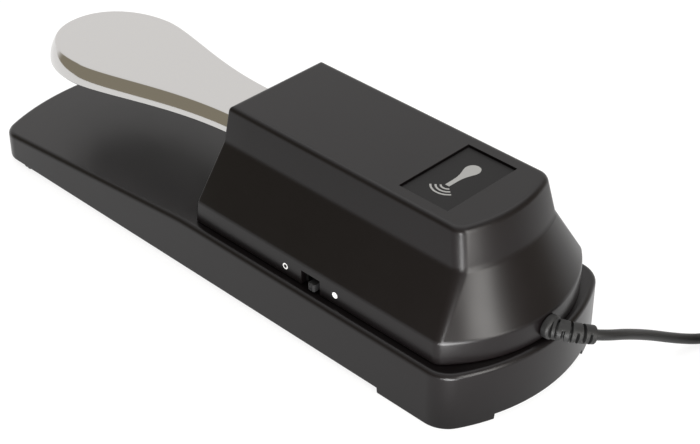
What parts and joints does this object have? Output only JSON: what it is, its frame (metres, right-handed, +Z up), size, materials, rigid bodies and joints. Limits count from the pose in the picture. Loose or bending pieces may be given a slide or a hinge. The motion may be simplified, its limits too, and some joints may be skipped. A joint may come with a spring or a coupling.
{
  "type": "sustain pedal",
  "caption": "Piano-style sustain pedal: a chrome spoon-shaped paddle pivots in a black moulded housing on a long base, with a contact switch on its side and a cable with a jack plug.",
  "frame": {"origin": "centre of the base's footprint, on the floor", "axes": "+Z up, +Y towards the rear where the cable leaves, -Y towards the player, +X the side with the contact switch"},
  "size_m": [0.1363, 0.3975, 0.0715],
  "materials": {
    "black_abs": "fine satin moulded ABS",
    "black_nylon": "satin moulded nylon",
    "white_nylon": "satin moulded nylon",
    "chrome": "bright polished chrome plate",
    "zinc_steel": "zinc-plated sheet steel",
    "spring_steel": "bright spring wire",
    "black_rubber": "matt rubber",
    "grey_felt": "pressed felt and woven tape",
    "circuit_board": "green solder mask",
    "label": "satin printed label with no lettering",
    "red_wire": "smooth insulation",
    "cable_jacket": "satin soft PVC jacket",
    "nickel": "bright nickel plate"
  },
  "bodies": {
    "base": {"base_shell": "black_abs", "bottom_plate": "zinc_steel", "bottom_screw_1": "zinc_steel", "bottom_screw_2": "zinc_steel", "bottom_screw_3": "zinc_steel", "bottom_screw_4": "zinc_steel", "front_foot_left": "black_rubber", "front_foot_right": "black_rubber", "foot_screw_left": "zinc_steel", "foot_screw_right": "zinc_steel", "housing_shell": "black_abs", "housing_screw_1": "zinc_steel", "housing_screw_2": "zinc_steel", "housing_screw_3": "zinc_steel", "housing_screw_4": "zinc_steel", "label_plate": "label", "pivot_bracket": "zinc_steel", "bracket_screw_1": "zinc_steel", "bracket_screw_2": "zinc_steel", "pivot_pin": "zinc_steel", "pin_clip_left": "spring_steel", "pin_clip_right": "spring_steel", "up_stop_pad": "grey_felt", "down_stop_block": "black_nylon", "down_stop_pad": "grey_felt", "spring_seat": "black_nylon", "return_spring": "spring_steel", "microswitch_body": "black_nylon", "microswitch_screw_1": "zinc_steel", "microswitch_screw_2": "zinc_steel", "switch_mount": "zinc_steel", "circuit_board": "circuit_board", "polarity_switch_body": "black_nylon", "inner_cable": "cable_jacket", "cable_clamp": "white_nylon", "clamp_screw": "zinc_steel", "switch_wire_red": "red_wire", "switch_wire_black": "cable_jacket", "strain_relief": "black_rubber", "cable": "cable_jacket", "cable_coil": "cable_jacket", "cable_tail": "cable_jacket", "cable_tie": "grey_felt", "plug_grip": "black_rubber", "plug_sleeve": "nickel", "plug_insulator": "black_nylon", "plug_tip": "nickel"},
    "pedal": {"paddle": "chrome", "pivot_bush_left": "white_nylon", "pivot_bush_right": "white_nylon", "spring_cup": "black_nylon", "switch_actuator": "white_nylon"},
    "leaf": {"microswitch_leaf": "nickel"},
    "button": {"microswitch_button": "white_nylon"},
    "knob": {"polarity_knob": "black_nylon"}
  },
  "joints": [
    {"name": "pedal_press", "type": "hinge", "parent": "base", "child": "pedal", "pos_m": [0, 0.062, 0.0515], "axis": [1, 0, 0], "range_deg": [0, 6.5], "stiffness_Nm_per_rad": 13, "springref_deg": -6.59, "deforming": ["return_spring"]},
    {"name": "leaf_bend", "type": "hinge", "parent": "base", "child": "leaf", "pos_m": [0, 0.053, 0.0447], "axis": [1, 0, 0], "range_deg": [0, 10.5]},
    {"name": "button_push", "type": "slide", "parent": "base", "child": "button", "axis": [0, 0, 1], "range_m": [-0.0009, 0]},
    {"name": "contact_select", "type": "slide", "parent": "base", "child": "knob", "axis": [0, 1, 0], "range_m": [-0.003, 0]}
  ],
  "couplings": [
    {"joint": "leaf_bend", "follows": "pedal_press", "ratio": 1.6},
    {"joint": "button_push", "follows": "pedal_press", "m_per_rad": -0.00705}
  ]
}
